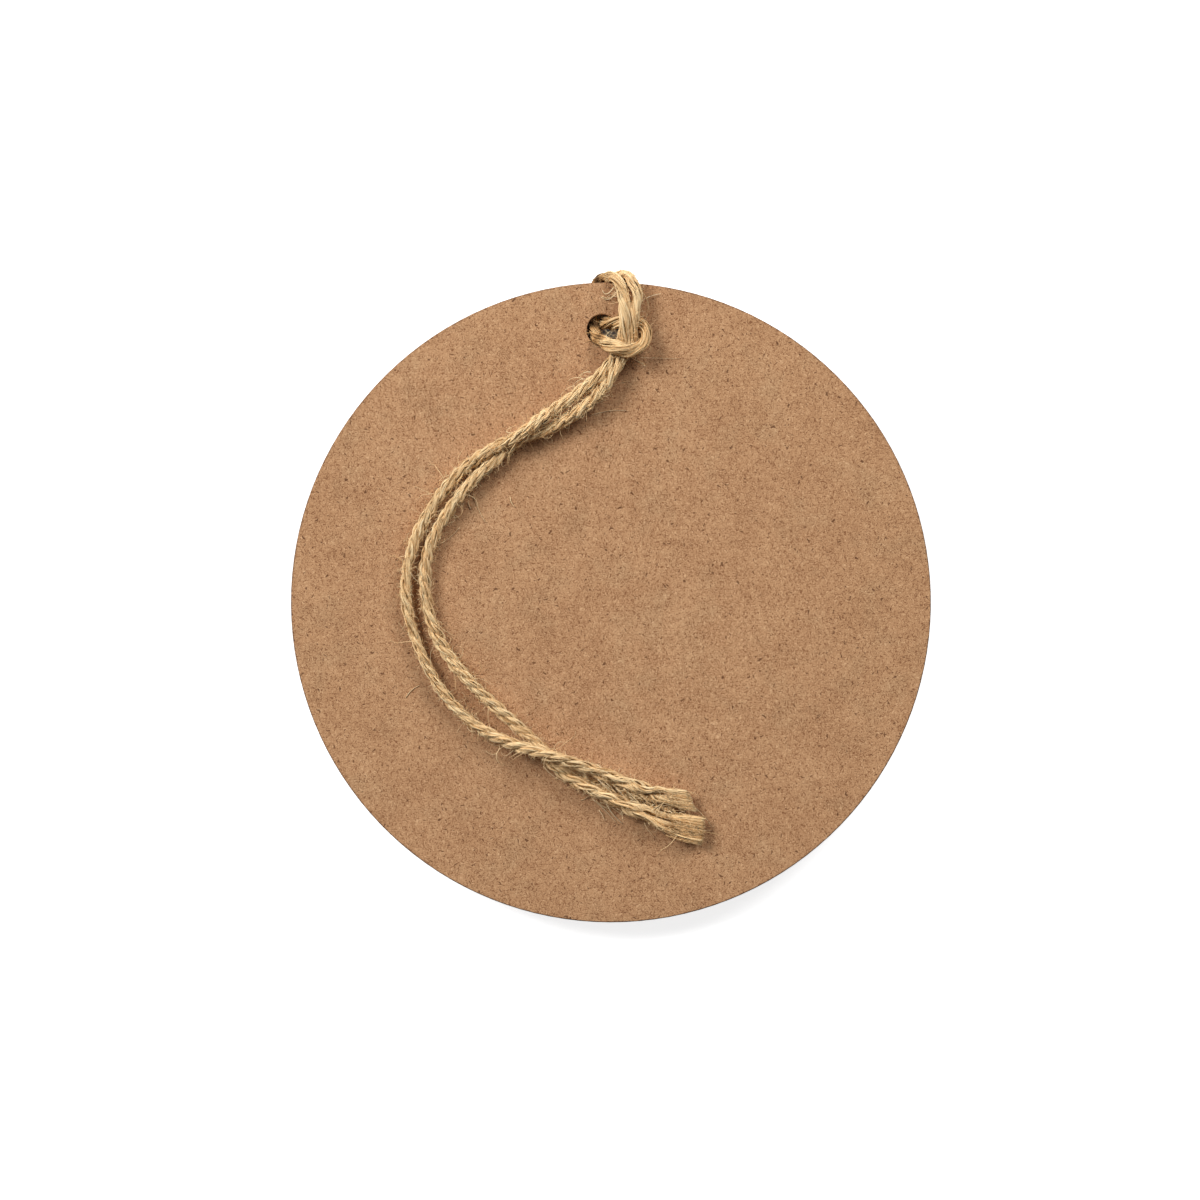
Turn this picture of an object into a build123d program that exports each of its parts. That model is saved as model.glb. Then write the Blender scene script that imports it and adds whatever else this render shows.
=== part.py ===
from build123d import *
import math
import os

# Gift tag: a round fibreboard blank with jute twine tied through its hole in a girth hitch.
# Millimetres. The origin is the middle of the board, +Z comes out of its front face, the hole is on +Y.

# Board
disc_diameter = 100.0
disc_thickness = 3.0
hole_diameter = 4.9
hole_margin = 5.0  # of board between the hole and the rim
edge_break = 0.15  # on the rim and on the hole, front and back

# Twine
twine_diameter = 1.7
lie_gap = 0.15  # between a strand and the face that it lies on
strand_gap = 0.45  # between a strand and the one that it passes over
arc_share = 0.45  # of the shorter run beside a corner that its arc takes up
gap_points = 600  # along the hitch, where its least gap to itself is measured
near_diameters = 3  # of twine on either side of a point, left out of that gap

# Sizes that follow
disc_radius = disc_diameter / 2
hole_radius = hole_diameter / 2
hole_y = disc_radius - hole_margin - hole_radius
twine_radius = twine_diameter / 2
lay_height = disc_thickness / 2 + lie_gap + twine_radius
layer_step = twine_diameter + strand_gap

# Routes of the twine as x, y and level. Level 1 lies on the front face, 2 lies over a strand that lies there,
# -1 lies on the back face and 0 is the middle of the board.
hitch_route = [
    # from the outer tail, under the bight and up the front
    (0.95, 38.4, 1),
    (2.3, 40.15, 1),
    (3.0, 42.75, 2.15),
    (3.3, 44.9, 2.15),
    (3.5, 47.7, 1.1),
    # over the rim and down the back
    (2.6, 50.35, 1.12),
    (1.9, 51.35, 0.62),
    (0.5, 51.35, -0.62),
    (-0.25, 50.35, -1.12),
    (-1.1, 47.4, -1.03),
    (-1.4, 44.9, -1.03),
    (-1.4, 43.1, -1.03),
    # through the hole to the front
    (-1.4, 42.1, -0.62),
    (-1.35, 41.9, 0.45),
    (-0.75, 41.2, 1.25),
    # the bight, over both strands and back under them
    (0.45, 40.5, 1.9),
    (2.1, 39.6, 2.22),
    (4.4, 39.25, 2.25),
    (6.65, 39.75, 2.0),
    (7.45, 41.4, 1.5),
    (6.8, 43.3, 1.05),
    (5.0, 43.9, 1),
    (3.0, 43.8, 1.03),
    (1.6, 43.7, 1),
    # through the hole to the back
    (0.6, 43.6, 0.6),
    (0.55, 43.5, -0.62),
    (0.8, 44.5, -1.05),
    (1.1, 46.1, -1.03),
    (1.35, 47.8, -1.03),
    # over the rim and down the front
    (2.1, 50.35, -1.12),
    (2.85, 51.35, -0.62),
    (4.25, 51.35, 0.62),
    (4.95, 50.35, 1.12),
    (5.85, 47.8, 1.1),
    (5.45, 44.9, 2.15),
    (5.15, 42.75, 2.15),
    # under the bight to the inner tail
    (4.75, 39.9, 1),
    (3.4, 38.1, 1),
]
outer_route = [
    (0.95, 38.4, 1),
    (-0.13, 37.0, 1),
    (-1.7, 35.0, 1),
    (-4.2, 32.9, 1),
    # over the inner tail where the two first press together
    (-7.2, 30.8, 1.45),
    (-10.2, 28.6, 2),
    (-14.0, 25.8, 2),
    (-17.5, 24.3, 1.4),
    (-22.0, 21.8, 1),
    (-26.1, 17.7, 1),
    (-29.1, 13.0, 1),
    (-31.3, 8.1, 1),
    (-32.2, 2.6, 1),
    (-31.3, -2.9, 1),
    (-29.0, -9.2, 1),
    (-25.8, -14.6, 1),
    (-21.4, -18.8, 1),
    # over the inner tail to its other side
    (-16.4, -21.5, 1.45),
    (-12.4, -22.8, 2),
    (-8.4, -24.1, 2),
    (-4.1, -25.7, 1.45),
    (0.9, -27.6, 1),
    (6.0, -29.7, 1),
    (10.8, -30.8, 1),
]
inner_route = [
    (3.4, 38.1, 1),
    (2.32, 36.66, 1),
    (0.7, 34.0, 1),
    (-2.1, 31.4, 1),
    (-5.2, 29.2, 1),
    (-8.5, 27.4, 1),
    (-12.1, 26.1, 1),
    (-16.5, 22.7, 1),
    (-20.3, 20.1, 1),
    (-23.9, 16.3, 1),
    (-26.6, 12.5, 1),
    (-28.6, 8.3, 1),
    (-29.0, 3.6, 1),
    (-28.4, -1.6, 1),
    (-26.2, -6.8, 1),
    (-22.7, -11.4, 1),
    (-18.6, -15.6, 1),
    (-14.2, -19.7, 1),
    (-11.3, -22.4, 1),
    (-9.4, -25.6, 1),
    (-5.4, -28.2, 1),
    (-0.5, -30.7, 1),
    (5.1, -33.5, 1),
    (9.2, -35.3, 1),
    (13.1, -36.0, 1),
]


def height(level):
    """The height of a strand's centre at a level, from the middle of the board."""
    if abs(level) <= 1:
        return level * lay_height
    return math.copysign(lay_height + (abs(level) - 1) * layer_step, level)


def lifted(route):
    """A route's points, each at the height of its level."""
    return [Vector(x, y, height(level)) for x, y, level in route]


def bend_radii(points):
    """The radius of the arc at each corner, as large as its two runs allow."""
    radii = []
    for before, corner, after in zip(points, points[1:], points[2:]):
        arriving = corner - before
        leaving = after - corner
        half_turn = math.radians(arriving.get_angle(leaving)) / 2
        radii.append(arc_share * min(arriving.length, leaving.length) / math.tan(half_turn))
    return radii


def report_twine(name, line, part, radii):
    """Print a strand's length, its tightest bend and its volume against section times length."""
    length = line.wire().length
    plain_volume = math.pi * twine_radius**2 * length
    print(name, "length", round(length, 1), "tightest radius", round(min(radii), 2))
    print(name, "radii", [round(radius, 1) for radius in radii])
    print(name, "volume", round(part.volume, 2), "section times length", round(plain_volume, 2))


def least_gap(wire):
    """The least gap between two stretches of one strand, measured on points along it."""
    skip = math.ceil(near_diameters * twine_diameter / wire.length * gap_points)
    points = [wire @ (i / gap_points) for i in range(gap_points + 1)]
    nearest = min((b - a).length for i, a in enumerate(points) for b in points[i + skip :])
    return nearest - twine_diameter


# The board, cut from a sheet with one hole
with BuildPart() as tag_disc:
    with BuildSketch(Plane.XY.offset(-disc_thickness / 2)):
        Circle(disc_radius)
        with Locations((0, hole_y)):
            Circle(hole_radius, mode=Mode.SUBTRACT)
    extrude(amount=disc_thickness)
    chamfer(tag_disc.edges().filter_by(GeomType.CIRCLE), length=edge_break)

# The hitch: two strands over the rim and a bight that holds them against the front
hitch_points = lifted(hitch_route)
hitch_radii = bend_radii(hitch_points)
with BuildPart() as twine_hitch:
    with BuildLine() as hitch_line:
        FilletPolyline(*hitch_points, radius=hitch_radii)
    with BuildSketch(hitch_line.wire() ^ 0):
        Circle(twine_radius)
    sweep()

# The free tails, side by side down the front
outer_points = lifted(outer_route)
outer_radii = bend_radii(outer_points)
with BuildPart() as tail_outer:
    with BuildLine() as outer_line:
        FilletPolyline(*outer_points, radius=outer_radii)
    with BuildSketch(outer_line.wire() ^ 0):
        Circle(twine_radius)
    sweep()

inner_points = lifted(inner_route)
inner_radii = bend_radii(inner_points)
with BuildPart() as tail_inner:
    with BuildLine() as inner_line:
        FilletPolyline(*inner_points, radius=inner_radii)
    with BuildSketch(inner_line.wire() ^ 0):
        Circle(twine_radius)
    sweep()

report_twine("hitch", hitch_line, twine_hitch.part, hitch_radii)
report_twine("outer tail", outer_line, tail_outer.part, outer_radii)
report_twine("inner tail", inner_line, tail_inner.part, inner_radii)
print("least gap of the hitch to itself", round(least_gap(hitch_line.wire()), 3))

os.makedirs("parts", exist_ok=True)
tag_disc.part.label = "tag_disc"
twine_hitch.part.label = "twine_hitch"
tail_outer.part.label = "tail_outer"
tail_inner.part.label = "tail_inner"
export_step(tag_disc.part, "parts/tag_disc.step")
export_step(twine_hitch.part, "parts/twine_hitch.step")
export_step(tail_outer.part, "parts/tail_outer.step")
export_step(tail_inner.part, "parts/tail_inner.step")
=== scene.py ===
import math

import bpy
import numpy as np
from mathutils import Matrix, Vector


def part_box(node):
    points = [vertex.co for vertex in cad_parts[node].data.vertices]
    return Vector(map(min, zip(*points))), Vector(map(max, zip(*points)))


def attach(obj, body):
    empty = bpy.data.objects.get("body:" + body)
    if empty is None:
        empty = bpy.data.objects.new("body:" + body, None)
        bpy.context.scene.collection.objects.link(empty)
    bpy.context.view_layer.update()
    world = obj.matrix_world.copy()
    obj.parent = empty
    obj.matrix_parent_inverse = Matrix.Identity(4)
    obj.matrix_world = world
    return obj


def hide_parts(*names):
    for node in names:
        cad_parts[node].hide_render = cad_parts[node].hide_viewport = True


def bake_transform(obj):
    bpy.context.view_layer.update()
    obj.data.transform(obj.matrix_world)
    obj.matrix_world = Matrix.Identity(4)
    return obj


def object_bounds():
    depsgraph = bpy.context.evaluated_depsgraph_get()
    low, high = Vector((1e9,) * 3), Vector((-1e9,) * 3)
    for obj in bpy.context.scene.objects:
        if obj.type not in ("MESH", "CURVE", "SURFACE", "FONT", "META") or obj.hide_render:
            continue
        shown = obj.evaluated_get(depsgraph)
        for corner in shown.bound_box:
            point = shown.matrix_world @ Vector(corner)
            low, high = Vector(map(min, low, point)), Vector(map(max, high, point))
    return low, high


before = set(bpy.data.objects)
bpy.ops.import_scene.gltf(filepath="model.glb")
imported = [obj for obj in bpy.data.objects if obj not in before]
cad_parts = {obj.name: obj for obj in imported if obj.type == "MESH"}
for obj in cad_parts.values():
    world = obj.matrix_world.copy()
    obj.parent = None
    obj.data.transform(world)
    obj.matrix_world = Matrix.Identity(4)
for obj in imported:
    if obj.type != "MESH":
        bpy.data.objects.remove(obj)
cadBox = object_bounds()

mm = 0.001
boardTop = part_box("tag_disc")[1].z
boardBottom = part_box("tag_disc")[0].z
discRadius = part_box("tag_disc")[1].y
lowest = cadBox[0].z


def srgb(red, green, blue):
    # 0 to 255 as seen on a screen, to the linear values that a shader takes
    scaled = [value / 255 for value in (red, green, blue)]
    return [v / 12.92 if v <= 0.04045 else ((v + 0.055) / 1.055) ** 2.4 for v in scaled]


# Camera: straight above the board, turned with the photograph
photo = {
    "side": 1200,                       # pixels
    "discCentre": (610.92, 602.36),     # pixels
    "discRadius": 320.14,               # pixels
    "roll": math.radians(1.79),
    "height": 0.40,                     # of the lens above the front face
    "sensor": 36.0,
    "clipStart": 0.01,
}


def pixelPoint(px, py):
    # the place on the front face under a pixel of the photograph
    scale = discRadius / photo["discRadius"]
    right = (px - photo["discCentre"][0]) * scale
    up = (photo["discCentre"][1] - py) * scale
    c, s = math.cos(photo["roll"]), math.sin(photo["roll"])
    return right * c + up * s, -right * s + up * c


def makeCamera():
    data = bpy.data.cameras.new("camera")
    camera = bpy.data.objects.new("camera", data)
    bpy.context.collection.objects.link(camera)
    x, y = pixelPoint(photo["side"] / 2, photo["side"] / 2)
    camera.location = (x, y, boardTop + photo["height"])
    camera.rotation_euler = (0, 0, -photo["roll"])
    width = photo["side"] * discRadius / photo["discRadius"]
    data.sensor_width = photo["sensor"]
    data.lens = photo["sensor"] * photo["height"] / width
    data.clip_start = photo["clipStart"]
    bpy.context.scene.camera = camera


makeCamera()
bpy.context.scene.view_settings.view_transform = "Standard"
print("camera set")

# Twine: x and y in millimetres, and a level: 1 lies on the front, 2 over a strand there, -1 on the back
twine = {
    "diameter": 1.95 * mm,
    "lay": 2.5 * mm,            # centre of a strand that lies on the front, from the board's middle
    "step": 1.6 * mm,           # from a strand to the one over it
    "routeSteps": 24,           # points from one point of a route to the next
    "ringStep": 0.4 * mm,       # between the points of the finished line
    "pitch": 6.3 * mm,          # one turn of the plies
    "knotPitch": 11 * mm,       # the same where the knot has opened them
    "endPitch": 15 * mm,        # and towards the cut ends
    "looseLength": 30 * mm,     # of each end that has loosened
    "knotFade": 4 * mm,         # over which the twine opens into the knot
    "plies": 3,
    "plyRadius": 0.43 * mm,     # from the twine's middle to a ply's middle
    "fibresPerPly": 34,
    "bunchSizes": (4, 9),       # fewest fibres that lie together in a ply, and one more than the most
    "bunchGroove": 0.22,        # how deep the grooves between the bunches are, as a share of the ring
    "fibreRing": 0.48 * mm,     # from a ply's middle to the fibres on its outside
    "fibreRadius": 0.07 * mm,
    "knotMerge": 0.15,          # how far the plies sink into each other in the knot
    "knotSwell": 0.5,           # how much of that the fibres swell by
    "pressed": 0.8,             # height of the lowest fibres over the board, in radii
    "fibrePitch": 20 * mm,      # one turn of the fibres, against the plies
    "knotFibrePitch": 25 * mm,  # the same in the knot, with the plies
    "coreRadius": 0.41 * mm,    # of the plain body inside a ply
    # painted shade: the plain body is dark, so that the gaps between the fibres look shaded
    "paintedCoreShade": 0.1,
    "fuller": [
        # where the twine lies looser and wider, how much, and over how many millimetres each way
        {"at": (-1.3, 44.0, -0.6), "share": 0.25, "reach": 4},
        {"at": (0.3, 43.8, -0.3), "share": 0.22, "reach": 3},
        {"at": (2.2, 39.3, 2.2), "share": 0.3, "reach": 5},
        {"at": (6.9, 41.2, 1.5), "share": 0.15, "reach": 4},
        {"at": (1.75, 38.3, 1.1), "share": -0.1, "reach": 4},
        {"at": (3.15, 38.0, 1.1), "share": -0.1, "reach": 4},
        {"at": (-6.0, 31.2, 1.8), "share": 0.08, "reach": 14},
        {"at": (-4.5, 30.1, 1.3), "share": 0.08, "reach": 14},
        {"at": (-30.5, -5.0, 1), "share": -0.14, "reach": 24},
        {"at": (-27.4, -4.2, 1), "share": 0.08, "reach": 20},
        {"at": (7.0, -30.5, 1.4), "share": 0.4, "reach": 14},
        {"at": (6.5, -34.2, 1.4), "share": 0.3, "reach": 14},
    ],
    "paintedShade": [
        # painted shade where the arch's foot and the legs in the hole lie in shade, and a darker stretch on
        # the loop's right: how much, and over how many millimetres each way; paler ones are below nought
        {"at": (-0.1, 50.95, -0.5), "share": 0.97, "reach": 2.8},
        {"at": (-1.35, 43.2, 0.0), "share": 0.97, "reach": 2.6},
        {"at": (-0.4, 40.95, 0.9), "share": 0.84, "reach": 2.2},
        {"at": (1.1, 43.5, 0.2), "share": 0.65, "reach": 2.2},
        {"at": (6.8, 41.4, 1.5), "share": 0.4, "reach": 4},
    ],
}
hitchRoute = [
    (1.75, 38.35, 1.1), (2.85, 40.1, 1.2), (3.55, 42.6, 2.2), (3.55, 44.9, 2.3), (3.45, 47.7, 1.75),
    (2.7, 50.0, 1.45), (1.85, 50.85, 0.75), (0.95, 50.95, 0.1), (-0.15, 50.9, -0.5), (-0.75, 50.1, -1.1),
    (-0.75, 47.6, -1.0), (-0.95, 46.2, -1.0), (-1.2, 45.3, -0.85), (-1.25, 44.65, -0.35),
    (-1.35, 43.7, -0.1), (-1.35, 42.6, 0.15), (-0.95, 41.35, 0.6), (0.2, 40.4, 1.3), (1.2, 39.75, 1.85),
    (2.5, 39.25, 2.25), (4.2, 38.9, 2.25), (6.2, 39.5, 2.05), (6.8, 41.2, 1.55), (6.4, 43.1, 1.05),
    (5.0, 43.8, 1), (3.0, 43.7, 1), (2.1, 43.55, 0.85), (1.1, 43.5, 0.25), (0.35, 43.85, -0.05),
    (0.05, 44.55, -0.5), (0.55, 46.0, -1.0), (1.2, 47.8, -1.0), (1.9, 50.0, -1.1), (2.5, 50.9, -0.6),
    (3.2, 51.0, 0.1), (3.95, 50.9, 0.75), (4.85, 50.0, 1.45), (5.7, 47.8, 1.65), (5.0, 44.9, 2.0),
    (4.7, 42.6, 2.0), (4.3, 39.9, 1.15), (3.15, 38.05, 1.1),
]
outerRoute = [
    (1.75, 38.35, 1.1), (0.75, 36.8, 1.7), (-1.05, 34.75, 1.8), (-3.95, 32.75, 1.75), (-7.15, 30.65, 1.8),
    (-10.2, 28.6, 2.0), (-14.0, 25.95, 2.15), (-17.5, 24.55, 1.5), (-21.9, 22.05, 1.05), (-26.1, 17.7, 1),
    (-29.1, 13.0, 1), (-31.3, 8.1, 1), (-32.2, 2.6, 1), (-31.3, -2.9, 1), (-29.0, -9.2, 1.1),
    (-25.8, -14.6, 1.15), (-21.4, -18.8, 1.15), (-16.4, -21.5, 1.45), (-12.4, -22.8, 1.95),
    (-8.4, -24.1, 1.95), (-4.1, -25.7, 1.6), (0.9, -27.85, 1.4), (6.0, -30.25, 1.45), (11.5, -31.3, 1.35),
]
innerRoute = [
    (3.15, 38.05, 1.1), (2.1, 36.6, 1.7), (0.55, 34.0, 1.75), (-2.05, 31.3, 1.65), (-5.2, 29.15, 1.5),
    (-8.65, 27.25, 1.2), (-11.7, 26.6, 1), (-13.7, 25.7, 1), (-16.2, 23.5, 1.15), (-20.4, 20.2, 1.25),
    (-23.9, 16.3, 1.2), (-26.6, 12.5, 1.1), (-28.6, 8.3, 1), (-29.0, 3.6, 1), (-28.4, -1.6, 1),
    (-26.2, -6.8, 1), (-22.7, -11.4, 1), (-18.6, -15.6, 1), (-14.2, -19.7, 1), (-11.3, -22.4, 1),
    (-9.4, -25.6, 1.1), (-5.4, -28.2, 1.3), (-0.5, -30.7, 1.4), (5.1, -33.5, 1.45), (9.2, -35.3, 1.4),
    (13.15, -36.0, 1.3),
]


def placed(x, y, level):
    z = level * twine["lay"]
    if abs(level) > 1:
        z = math.copysign(twine["lay"] + (abs(level) - 1) * twine["step"], level)
    return x * mm, y * mm, z


def splinePoints(points):
    # points along one smooth spline through the route
    data = bpy.data.curves.new("route", "CURVE")
    data.dimensions = "3D"
    data.resolution_u = twine["routeSteps"]
    spline = data.splines.new("NURBS")
    spline.points.add(len(points) - 1)
    for place, point in zip(points, spline.points):
        point.co = (*place, 1)
    spline.order_u = 3
    spline.use_endpoint_u = True
    route = bpy.data.objects.new("route", data)
    mesh = bpy.data.meshes.new_from_object(route)
    line = np.array([v.co for v in mesh.vertices], float)
    bpy.data.objects.remove(route)
    bpy.data.curves.remove(data)
    bpy.data.meshes.remove(mesh)
    return line


def evenly(line, step):
    # the same line with points a step apart
    run = np.r_[0, np.cumsum(np.linalg.norm(np.diff(line, axis=0), axis=1))]
    count = max(2, round(run[-1] / step) + 1)
    at = np.linspace(0, run[-1], count)
    return np.stack([np.interp(at, run, line[:, k]) for k in range(3)], 1), at


def carriedFrames(line):
    # two directions across the line at each point, carried along it without twist
    along = np.gradient(line, axis=0)
    along /= np.linalg.norm(along, axis=1)[:, None]
    side = np.zeros_like(line)
    first = np.cross(along[0], (0, 0, 1))
    if np.linalg.norm(first) < 0.01:    # the line starts upright
        first = np.cross(along[0], (1, 0, 0))
    side[0] = first / np.linalg.norm(first)
    for i in range(1, len(line)):
        kept = side[i - 1] - along[i] * (side[i - 1] @ along[i])
        side[i] = kept / np.linalg.norm(kept)
    return along, side, np.cross(along, side)


def wander(rng, count, run, shortest, longest):
    # smooth uneven waves along a run, about -1 to 1, one row for each fibre
    total = np.zeros((count, len(run)))
    for _ in range(3):      # three sines, each of its own length
        length = rng.uniform(shortest, longest, (count, 1))
        shift = rng.uniform(0, 2 * math.pi, (count, 1))
        total += np.sin(2 * math.pi * run[None] / length + shift) / 2
    return total


def smoothStep(value):
    t = np.clip(value, 0, 1)
    return t * t * (3 - 2 * t)


wholeRoute = [placed(*p) for p in outerRoute[::-1] + hitchRoute[1:-1] + innerRoute]
centre, run = evenly(splinePoints(wholeRoute), twine["ringStep"])
along, side, over = carriedFrames(centre)


def ringNear(point):
    return int(np.linalg.norm(centre - np.array(point), axis=1).argmin())


outerSplit = ringNear(placed(*hitchRoute[0]))
innerSplit = ringNear(placed(*hitchRoute[-1]))
lastRing = len(run) - 1
pastOuter = (run - run[outerSplit]) / twine["knotFade"]
beforeInner = (run[innerSplit] - run) / twine["knotFade"]
inKnot = smoothStep(pastOuter) * smoothStep(beforeInner)
loosened = smoothStep(1 - np.minimum(run, run[-1] - run) / twine["looseLength"])


def aroundPlaces(places):
    # the share of each listed place, fading along the twine to both sides
    total = np.zeros(len(run))
    for place in places:
        fromPlace = np.abs(run - run[ringNear(placed(*place["at"]))])
        total += place["share"] * smoothStep(1 - fromPlace / (place["reach"] * mm))
    return total


fullness = 1 + aroundPlaces(twine["fuller"])
# painted shade: a factor that darkens the twine's shades at the listed places
paintedShadeFactor = 1 - aroundPlaces(twine["paintedShade"])
print("twine laid,", len(run), "rings,", round(run[-1] * 1000, 1), "mm")

# How unevenly it is spun. A wave is its size, then its shortest and longest length
spin = {
    "thickness": (0.05, 6 * mm, 17 * mm),   # of the whole twine, as a share
    "plyTurn": (0.2, 7 * mm, 19 * mm),      # in radians, as the other turns
    "plyReach": (0.08, 5 * mm, 13 * mm),    # as a share, as the other reaches
    "bunchTurn": (0.3, 4 * mm, 11 * mm),
    "looseTurn": 0.7,                       # added to it where an end has loosened
    "bunchReach": (0.05, 3 * mm, 9 * mm),
    "looseReach": 0.12,                     # the same for this one
    "fibreTurn": (0.1, 3 * mm, 9 * mm),
    "fibreThickness": (0.16, 2 * mm, 8 * mm),
    "fibreShade": (0.08, 3 * mm, 12 * mm),
    "rough": (0.07, 1.6 * mm, 4 * mm),      # how far single fibres leave their bunch
    "drawnIn": 0.08,                        # how far a bunch pulls its fibres together
    "misplaced": 0.3,                       # of the room that a fibre has round its ply
    "fibreReaches": (0.95, 1.04),
    "fibreSizes": (0.7, 1.35),
    "bunchShades": (0.5, 0.85),
    "ownShade": 0.1,                        # of one fibre, above or below its bunch
    "paintedGrooveShade": 0.38,                    # painted shade: how much darker the fibres in the grooves between bunches are
    "leastShade": 0.04,
    "seed": 7,
    "roughSeed": 8,
}


def waves(rng, count, kind, loose=0):
    # one kind of unevenness along the twine, larger where an end has loosened
    size, shortest, longest = spin[kind]
    return (size + loose * loosened) * wander(rng, count, run, shortest, longest)


def bunchUp(rng, count):
    # the bunch that each fibre of a ply belongs to, and its place across it from -1 to 1
    sizes = []
    while sum(sizes) < count:
        sizes.append(min(int(rng.integers(*twine["bunchSizes"])), count - sum(sizes)))
    number = np.repeat(np.arange(len(sizes)), sizes)
    across = np.concatenate([(np.arange(size) + 0.5) / size * 2 - 1 for size in sizes])
    return number, across, np.array(sizes)


def spinFibres():
    # every fibre of the plies along the whole twine: offsets, radii and a shade from 0 to 1
    rng = np.random.default_rng(spin["seed"])
    roughRng = np.random.default_rng(spin["roughSeed"])
    places, radii, shades = [], [], []
    pitch = twine["pitch"] + (twine["knotPitch"] - twine["pitch"]) * inKnot
    pitch = pitch + (twine["endPitch"] - twine["pitch"]) * loosened
    laid = -2 * math.pi * np.cumsum(np.gradient(run) / pitch)
    rate = (1 - inKnot) / twine["fibrePitch"] - inKnot / twine["knotFibrePitch"]
    fibreTurn = 2 * math.pi * np.cumsum(np.gradient(run) * rate)
    uneven = fullness * (1 + waves(rng, 1, "thickness")[0])
    merged = twine["knotMerge"] * inKnot
    count = twine["fibresPerPly"]
    for ply in range(twine["plies"]):
        turn = laid + 2 * math.pi * ply / twine["plies"]
        turn = turn + waves(rng, 1, "plyTurn")[0]
        reach = twine["plyRadius"] * uneven * (1 - merged)
        reach = reach * (1 + waves(rng, 1, "plyReach")[0])
        plySide, plyOver = reach * np.cos(turn), reach * np.sin(turn)
        bunch, across, sizes = bunchUp(rng, count)
        drawn = np.arange(count) - spin["drawnIn"] * across * sizes[bunch]
        drawn = drawn + rng.uniform(-spin["misplaced"], spin["misplaced"], count)
        angle = 2 * math.pi * drawn[:, None] / count + fibreTurn[None]
        angle = angle + waves(rng, len(sizes), "bunchTurn", spin["looseTurn"])[bunch]
        angle = angle + waves(rng, count, "fibreTurn")
        groove = across[:, None] ** 2
        swollen = uneven * (1 + twine["knotSwell"] * merged)
        ring = twine["fibreRing"] * swollen * rng.uniform(*spin["fibreReaches"], (count, 1))
        ring = ring * (1 - twine["bunchGroove"] * groove)
        ring = ring * (1 + waves(rng, len(sizes), "bunchReach", spin["looseReach"])[bunch])
        ring = ring * (1 + waves(roughRng, count, "rough"))
        angle = angle + waves(roughRng, count, "rough")
        fibreSide = plySide[None] + ring * np.cos(angle)
        fibreOver = plyOver[None] + ring * np.sin(angle)
        thick = twine["fibreRadius"] * rng.uniform(*spin["fibreSizes"], (count, 1))
        thick = thick * uneven * (1 + waves(rng, count, "fibreThickness"))
        shade = rng.uniform(*spin["bunchShades"], (len(sizes), 1))[bunch]
        # painted shade in the grooves between the bunches
        shade = shade - spin["paintedGrooveShade"] * groove
        shade = shade + rng.uniform(-spin["ownShade"], spin["ownShade"], (count, 1))
        shade = shade + waves(rng, count, "fibreShade")
        places.append(np.stack([fibreSide, fibreOver], 2))
        radii.append(thick)
        # the painted shade factor darkens these fibres at the listed places
        shades.append(np.clip(shade, spin["leastShade"], 1) * paintedShadeFactor)
        # the plain body, dark as painted shade in the gaps
        places.append(np.stack([plySide, plyOver], 1)[None])
        radii.append(twine["coreRadius"] * swollen[None])
        shades.append(twine["paintedCoreShade"] * paintedShadeFactor[None])
    return np.concatenate(places), np.concatenate(radii), np.concatenate(shades)


fibreOffset, fibreRadius, fibreShade = spinFibres()
fibreLine = centre[None] + fibreOffset[:, :, :1] * side[None] + fibreOffset[:, :, 1:] * over[None]
perPly = twine["fibresPerPly"] + 1
isCore = np.arange(len(fibreLine)) % perPly == perPly - 1

# Cut ends: the plies open into a flat brush of straight fibres, trimmed square or on the slant
cutEnds = {
    "outer": {"length": 6.5 * mm, "halfWidth": 1.5 * mm, "depth": 0.5 * mm, "sink": 0.1 * mm,
              "slant": 0.64, "shades": (0.25, 0.95), "openSeed": 21, "brushSeed": 23},
    "inner": {"length": 10 * mm, "halfWidth": 2.2 * mm, "depth": 0.5 * mm, "sink": 0.1 * mm,
              "slant": 0.03, "shades": (0.08, 0.65), "openSeed": 22, "brushSeed": 24},
}
brush = {
    "fibres": 150,              # fine ones, over the opened plies of each end
    "points": 7,
    "radius": 0.045 * mm,
    "reach": (0.15, 0.6),       # how far back they start, as shares of the opened length
    "opening": 2.6,             # how early the plies open: a higher number opens them sooner
    "bunched": 0.42,            # how far each ply keeps together where it starts to open
    "dull": 0.03,               # how much browner the fibres are at the cut
    "fansFrom": 0.6,            # share of the opened length over which a ply fans out
    "crown": 1.1,               # how far the opened plies stay round, and what they lose to their sides
    "crownFall": 0.5,
    "coreThins": 0.7,           # how much thinner the plain body gets at the cut
    "sideMix": 0.1 * mm,        # how far fibres swap places sideways, in their ply, in height, at the cut
    "placeMix": 0.08,
    "heightMix": 0.15 * mm,
    "cutMix": 0.12 * mm,
    "rootWidth": 0.75,          # of the fine fibres where they start, as a share of the twine
    "heights": (0.55, 1.02),    # of the fine fibres, over an arched section
    "arch": 1.05,
    "leastArch": 0.02,
    "fineCut": 0.2 * mm,        # how unevenly the fine fibres are cut
    "waver": 0.035 * mm,
    "sizes": (0.7, 1.3),
}
up = np.array((0, 0, 1))


def endAxes(last):
    # out of the cut end, and to its right
    outward = along[last] * (-1 if last == 0 else 1)
    across = np.cross(outward, up)
    return outward, across / np.linalg.norm(across)


def ranked(values):
    # the rank of each value in its row
    return np.argsort(np.argsort(values, axis=-1), axis=-1)


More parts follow.
